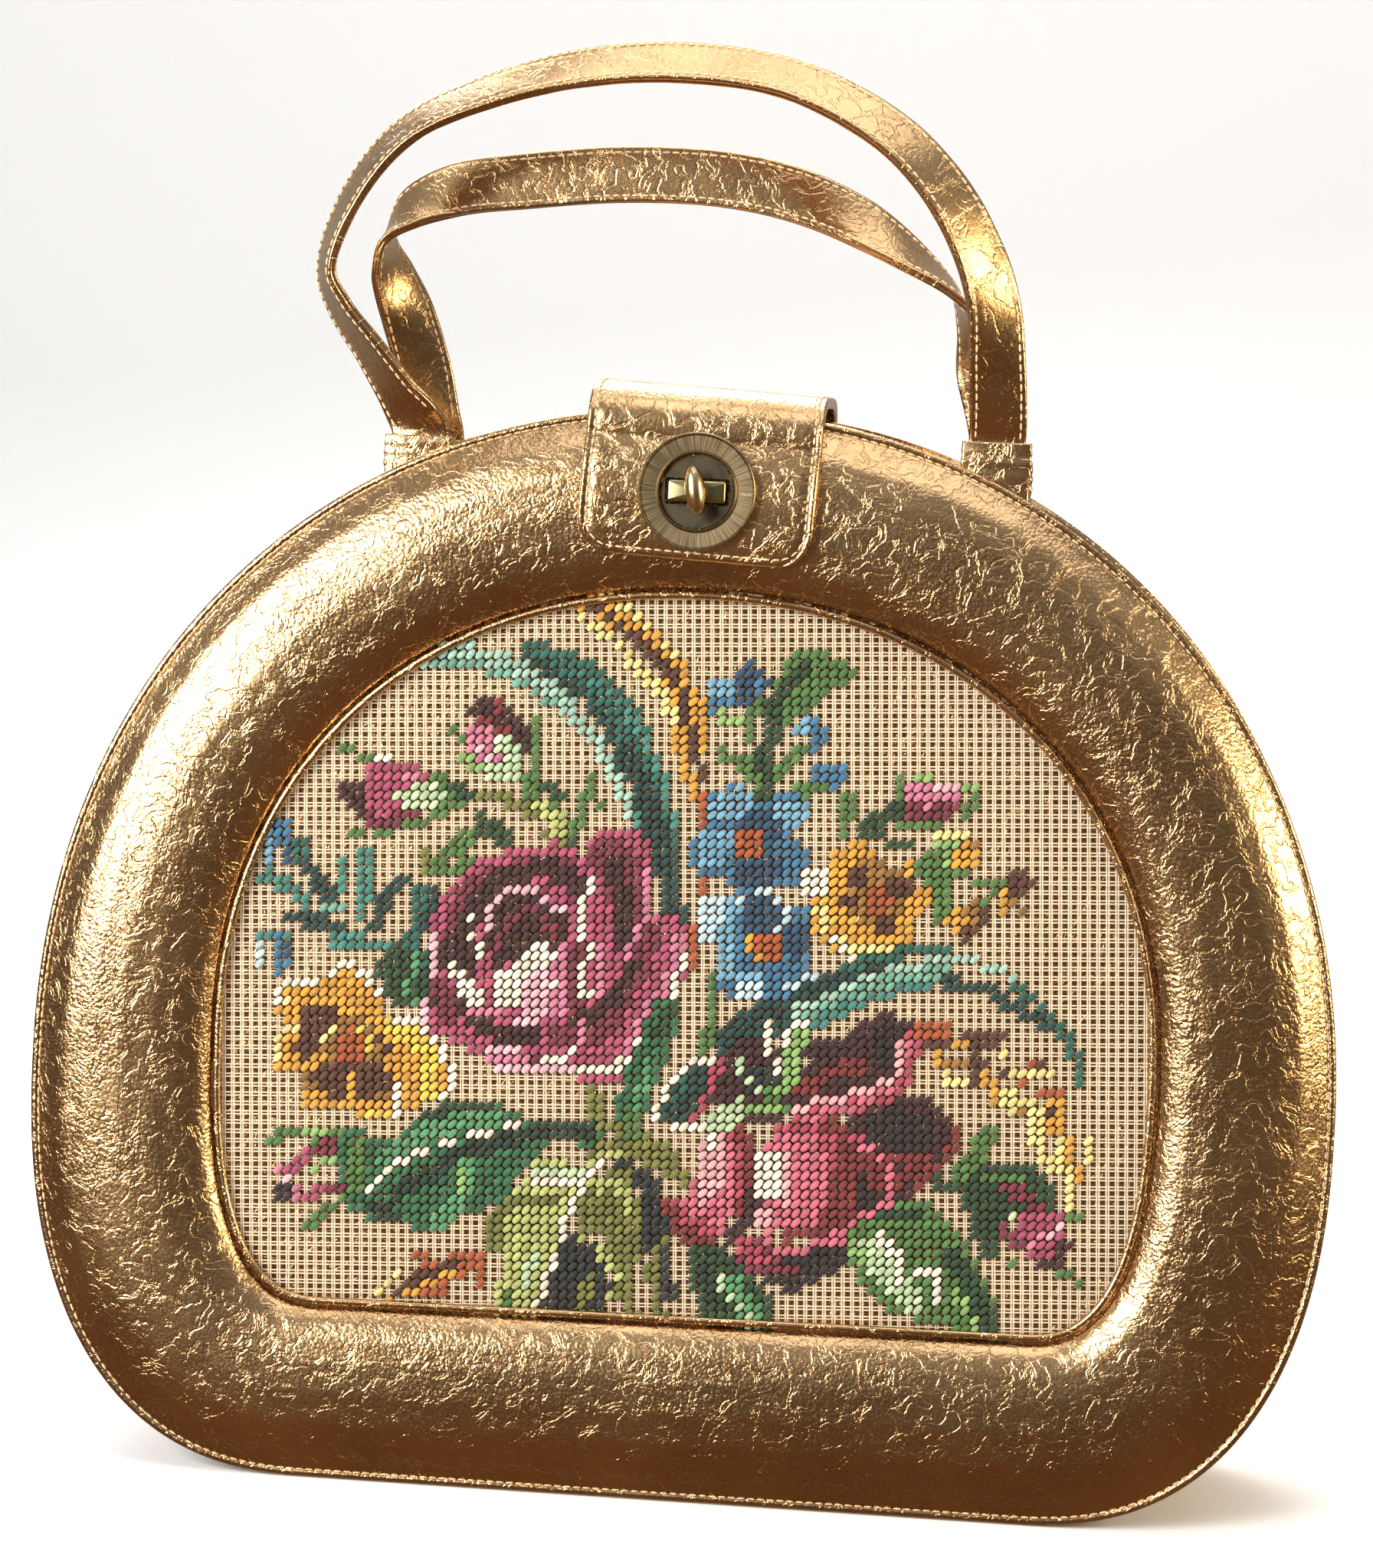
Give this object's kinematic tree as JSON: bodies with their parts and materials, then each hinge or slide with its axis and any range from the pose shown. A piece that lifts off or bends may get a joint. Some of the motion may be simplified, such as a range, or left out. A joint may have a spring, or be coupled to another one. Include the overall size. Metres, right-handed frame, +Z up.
{
  "type": "needlepoint handbag",
  "caption": "Stiff D-shaped leather handbag with a floral needlepoint window, a tab with a turn lock and twin strap handles.",
  "frame": {"origin": "on the ground under the middle of the base", "axes": "+Z up, -Y out of the front with the needlepoint window, +X to the right as seen from the front"},
  "size_m": [0.3564, 0.0998, 0.3945],
  "materials": {
    "gold_leather": "metallic gold foil on crinkled leather",
    "canvas": "needlepoint canvas with wool stitches",
    "antique_brass": "antique, radially brushed"
  },
  "bodies": {
    "bag": {"front_pad": "gold_leather", "window_rim": "gold_leather", "canvas": "canvas", "front_board": "gold_leather", "front_collar_left": "gold_leather", "front_collar_right": "gold_leather", "lock_ring": "antique_brass", "lock_plate": "antique_brass", "lock_bar": "antique_brass", "back_pad": "gold_leather", "back_board": "gold_leather", "back_collar_left": "gold_leather", "back_collar_right": "gold_leather", "tab": "gold_leather", "gusset": "gold_leather", "front_handle": "gold_leather", "back_handle": "gold_leather"},
    "knob": {"turn_knob": "antique_brass"}
  },
  "joints": [
    {"name": "knob_turn", "type": "hinge", "parent": "bag", "child": "knob", "pos_m": [0, -0.03634, 0.27419], "axis": [0, -0.9965, 0.0837], "range_deg": [0, 90]}
  ]
}
